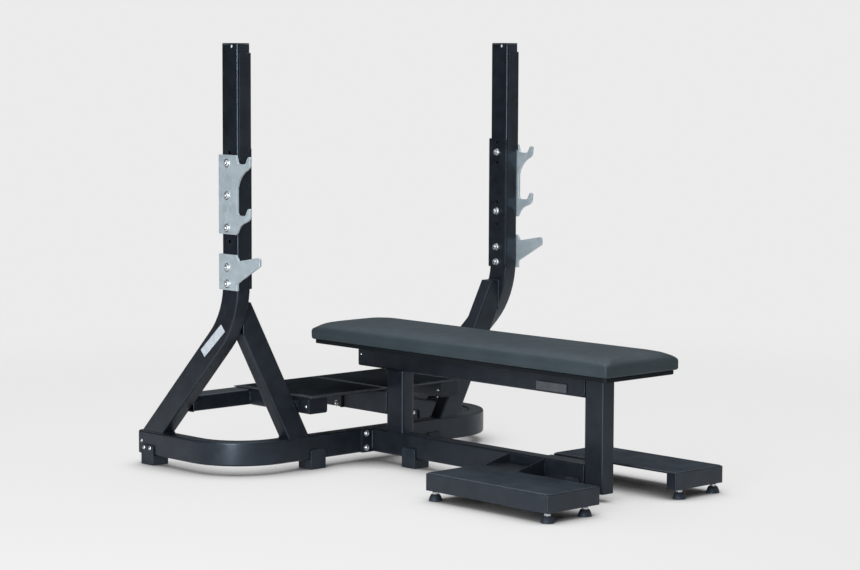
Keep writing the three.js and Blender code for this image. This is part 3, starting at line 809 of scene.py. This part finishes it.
def make_rack_welds():
    """The beads on each side of the rack, and those of the foot plate's bracket on the main beam."""
    for side, sign in SIDES.items():
        draw = random.Random(11 + sign)
        shells = Shells()
        tube = f"deck_side_tube_{side}"
        for seam in rack_seams(side, sign) + side_seams(tube, box(tube)[1].y):
            add_bead(shells, seam, BEADS["rack"], draw)
        low, high = box(f"foot_plate_bracket_{side}")
        beam = box("main_beam")[1].x * sign
        for y in (low.y + BRACKET_SEAM_INSET, high.y - BRACKET_SEAM_INSET):
            seam = [(beam, y, z) for z in (low.z + BRACKET_SEAM_INSET, high.z - BRACKET_SEAM_INSET)]
            add_bead(shells, seam, BEADS["bracket"], draw)
        shells.finish(f"weld_beads_{side}", "frame_paint", smooth=80)


def make_bench_welds():
    """The beads on the rear leg, the beams and the deck's strut."""
    draw = random.Random(7)
    low, high = box("rear_leg")
    seams = [rectangle_xy(low, high, low.z), rectangle_xy(low, high, high.z)]
    for tube in ("seat_beam", "main_beam"):
        seams += side_seams(tube, box(tube)[0].y)
    for tube in ("deck_strut_front", "deck_strut_rear"):
        for end in box(tube):
            seams += side_seams(tube, end.y)
    shells = Shells()
    for seam in seams:
        add_bead(shells, seam, BEADS["bench"], draw)
    for seam in side_seams("main_beam", box("main_beam")[1].y):
        add_bead(shells, seam, BEADS["end_plate"], draw)
    shells.finish("weld_beads_bench", "frame_paint", smooth=80)


# ---------------------------------------------------------------- levelling feet

BASE_TOP = 20.4  # height of the rubber base, in mm
FOOT_WASHER_THICK = 1.0


def foot_base_profile():
    """A domed rubber cone with four shallow grooves around it."""
    outline = [(19.6, 0.0), (20.2, 1.2), (20.0, 3.4), (18.9, 7.4),
               (17.4, 11.6), (15.7, 15.4), (14.2, 18.0)]
    rows = [(0, 0.3), (14, 0.3)]
    for (radius, height), (next_radius, next_height) in zip(outline, outline[1:]):
        rows.append((radius, height))
        if height > 3:
            groove, at = (radius + next_radius) / 2, (height + next_height) / 2
            rows += [(groove + 0.1, at - 0.5), (groove - 0.7, at), (groove, at + 0.5)]
    return rows + [outline[-1], (12.8, 19.6), (11.4, BASE_TOP), (0, BASE_TOP)]


THREAD = {"radius": 4.85 * MM, "depth": 0.65 * MM, "pitch": 1.5 * MM, "sides": 20, "steps": 6}


def add_thread(shells, place, bottom, top):
    """A threaded stud, its crest a helix."""
    sides, pitch = THREAD["sides"], THREAD["pitch"]
    count = round((top - bottom) / pitch * THREAD["steps"])
    loops = []
    for step in range(count + 1):
        height = bottom + (top - bottom) * step / count
        loop = []
        for i in range(sides):
            turn = i / sides
            phase = (height / pitch - turn) % 1.0
            radius = THREAD["radius"] - THREAD["depth"] * abs(2 * phase - 1)
            angle = math.tau * turn
            loop.append(place + Vector((radius * math.cos(angle), radius * math.sin(angle), height)))
        loops.append(loop)
    shells.tube(loops)


def make_levelling_foot(node):
    """A rubber base that stands for the CAD node, and its washer, lock nut and threaded stud."""
    low, high = box(node)
    place = Vector(((low.x + high.x) / 2, (low.y + high.y) / 2, low.z))
    base = Shells()
    base.turned(foot_base_profile(), place, UP, 40)
    base_piece = base.finish(f"{node}_base", "foot_rubber", body=node, smooth=50)
    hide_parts(node)

    steel = Shells()
    washer_place = place + BASE_TOP * MM * UP
    nut_place = washer_place + FOOT_WASHER_THICK * MM * UP
    nut = [(4.3, 0), (8.2, 0), (8.6, 0.5, "hex"), (8.6, 4.7, "hex"), (8.2, 5.2), (4.3, 5.2)]
    steel.turned(washer_profile(10.8, 4.2, FOOT_WASHER_THICK), washer_place, UP, 32, ring=True)
    steel.turned(nut, nut_place, UP, 24, ring=True)
    add_thread(steel, place, (BASE_TOP + 0.1) * MM, high.z - low.z)
    steel.finish(f"{node}_stud", "zinc_plate", "bolt", body=node)


# ---------------------------------------------------------------- upholstered pad

PAD_SHAPE = {"above_board": 0.3 * MM, "overhang": 3.5 * MM, "lean": 4 * MM, "wall": 27 * MM,
             "rise": 29 * MM, "end_slope": 150 * MM, "corner": 5 * MM, "roundness": 3.4}
PAD_STEPS = {"bottom": 8, "wall": 5, "top": 28, "middle": 16}
NEAR_END = (0, 0.5, 1.5, 3, 5, 9, 15, 24, 36, 52, 72, 98, 128, 160)  # mm from an end to each loop


def crown(share):
    """Height share of the pad's top at a share of the way from the middle to an edge."""
    power = PAD_SHAPE["roundness"]
    return (1 - min(1.0, abs(share)) ** power) ** (1 / power)


def pad_section(y, low, high):
    """One loop around the pad: flat bottom, upright walls, crowned top that drops towards the ends."""
    corner = PAD_SHAPE["corner"]
    from_end = min(y - low.y, high.y - y)
    cut = max(0.0, corner - from_end)
    half = (high.x - low.x) / 2 - (corner - math.sqrt(corner ** 2 - cut ** 2))
    end_share = max(0.0, 1 - from_end / PAD_SHAPE["end_slope"])
    wall_top = low.z + PAD_SHAPE["wall"]
    bottom, wall, top = PAD_STEPS["bottom"], PAD_STEPS["wall"], PAD_STEPS["top"]
    loop = [Vector((half * (1 - 2 * i / bottom), y, low.z)) for i in range(bottom + 1)]
    steps = [low.z + (wall_top - low.z) * step / wall for step in range(1, wall)]
    loop += [Vector((-half, y, z)) for z in steps]
    for i in range(top + 1):
        share = -math.cos(math.pi * i / top)
        rise = PAD_SHAPE["rise"] * crown(share) * crown(end_share)
        loop.append(Vector((half * share, y, wall_top + rise)))
    loop += [Vector((half, y, z)) for z in reversed(steps)]
    return loop


def lean_outwards(piece, low, high):
    """Leans the pad's four walls outwards, as foam does that is pulled down over a board's edge."""
    middle = (low + high) / 2
    half = (high - low) / 2
    for vertex in piece.data.vertices:
        share = min(1.0, (vertex.co.z - low.z) / PAD_SHAPE["wall"])
        lean = PAD_SHAPE["overhang"] + PAD_SHAPE["lean"] * math.sin(share * math.pi / 2)
        vertex.co.x += (vertex.co.x - middle.x) / half.x * lean
        vertex.co.y += (vertex.co.y - middle.y) / half.y * lean


def pad_blank():
    """The pad before its cover is blown up, with loops that crowd towards its ends."""
    low, high = box("bench_pad")
    low.z += PAD_SHAPE["above_board"]
    length = high.y - low.y
    places = [low.y + mm * MM for mm in NEAR_END]
    gap = (length - 2 * NEAR_END[-1] * MM) / PAD_STEPS["middle"]
    places += [places[-1] + gap * (i + 1) for i in range(PAD_STEPS["middle"] - 1)]
    places += [high.y - mm * MM for mm in reversed(NEAR_END)]
    shells = Shells()
    shells.tube([pad_section(y, low, high) for y in places])
    piece = shells.mesh_object("bench_pad_upholstered")
    lean_outwards(piece, low, high)
    return piece


PAD_VOXEL = 5.5 * MM
PAD_HELD = 3 * MM  # height of the cover's underside that is held
PAD_CAP = 3 * MM  # the farthest that the cloth may move
SIM_FRAMES = 20


def apply_modifier(piece, modifier):
    bpy.context.view_layer.objects.active = piece
    with bpy.context.temp_override(object=piece, active_object=piece):
        bpy.ops.object.modifier_apply(modifier=modifier.name)


def inflate(piece):
    """Blows the cover up by cloth simulation, its underside held, and caps how far it moves."""
    remesh = piece.modifiers.new("even", "REMESH")
    remesh.mode = "VOXEL"
    remesh.voxel_size = PAD_VOXEL
    apply_modifier(piece, remesh)
    start = [vertex.co.copy() for vertex in piece.data.vertices]
    bottom = min(point.z for point in start)
    held = piece.vertex_groups.new(name="held")
    held.add([i for i, point in enumerate(start) if point.z < bottom + PAD_HELD], 1.0, "ADD")
    cloth = piece.modifiers.new("cloth", "CLOTH")
    settings = cloth.settings
    settings.quality = 6
    settings.mass = 0.3
    settings.tension_stiffness = 12
    settings.compression_stiffness = 12
    settings.shear_stiffness = 6
    settings.bending_stiffness = 2
    settings.use_pressure = True
    settings.uniform_pressure_force = 4
    settings.effector_weights.gravity = 0
    settings.vertex_group_mass = "held"
    cloth.point_cache.frame_start = 1
    cloth.point_cache.frame_end = SIM_FRAMES
    scene = bpy.context.scene
    for step in range(1, SIM_FRAMES + 1):
        scene.frame_set(step)
    apply_modifier(piece, cloth)
    scene.frame_set(1)
    for vertex, before in zip(piece.data.vertices, start):
        moved = vertex.co - before
        if moved.length > PAD_CAP:
            vertex.co = before + moved * (PAD_CAP / moved.length)


PLEAT = {"reach": 42 * MM, "depth": 1.3 * MM, "folds": 3.5}


def pleat_corners(piece):
    """Gathers the cover into shallow folds that fan out from its four corners."""
    points = [vertex.co for vertex in piece.data.vertices]
    low = Vector([min(point[i] for point in points) for i in range(3)])
    high = Vector([max(point[i] for point in points) for i in range(3)])
    middle = (low + high) / 2
    fan_height = low.z + PAD_SHAPE["wall"] / 2
    for vertex in piece.data.vertices:
        sign_x = 1 if vertex.co.x > middle.x else -1
        sign_y = 1 if vertex.co.y > middle.y else -1
        corner = Vector((high.x if sign_x > 0 else low.x, high.y if sign_y > 0 else low.y, fan_height))
        away = vertex.co - corner
        reach = 1 - away.length / PLEAT["reach"]
        if reach <= 0 or vertex.co.z < fan_height:
            continue
        turn = math.atan2(-sign_y * away.y + away.z, -sign_x * away.x + away.z)
        fold = 0.5 - 0.5 * math.cos(math.tau * PLEAT["folds"] * turn / (math.pi / 2))
        ease = min(1.0, (vertex.co.z - fan_height) / (PAD_SHAPE["wall"] / 4))
        inwards = Vector((-sign_x, -sign_y, -1)).normalized()
        vertex.co += inwards * (PLEAT["depth"] * fold * math.sin(math.pi * reach) * ease)


def make_pad():
    """The upholstered pad, which stands for the plain CAD solid."""
    pad = pad_blank()
    inflate(pad)
    pleat_corners(pad)
    fine = pad.modifiers.new("fine", "SUBSURF")
    fine.levels = 1
    fine.render_levels = 1
    pad.data.materials.append(MATERIALS["vinyl"])
    pad.data.shade_smooth()
    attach(pad, FRAME_BODY)
    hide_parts("bench_pad")


make_camera()
make_lights()
make_world()
make_floor()
dress_frame()
make_rack_bolts()
make_bench_bolts()
for side in SIDES:
    make_saddle_bolts(f"rail_foot_{side}")
make_small_screws()
make_sticker()
make_rack_welds()
make_bench_welds()
for name in frame["nodes"]:
    if name.startswith("levelling_foot"):
        make_levelling_foot(name)
make_pad()

bpy.context.scene.view_settings.view_transform = "Standard"
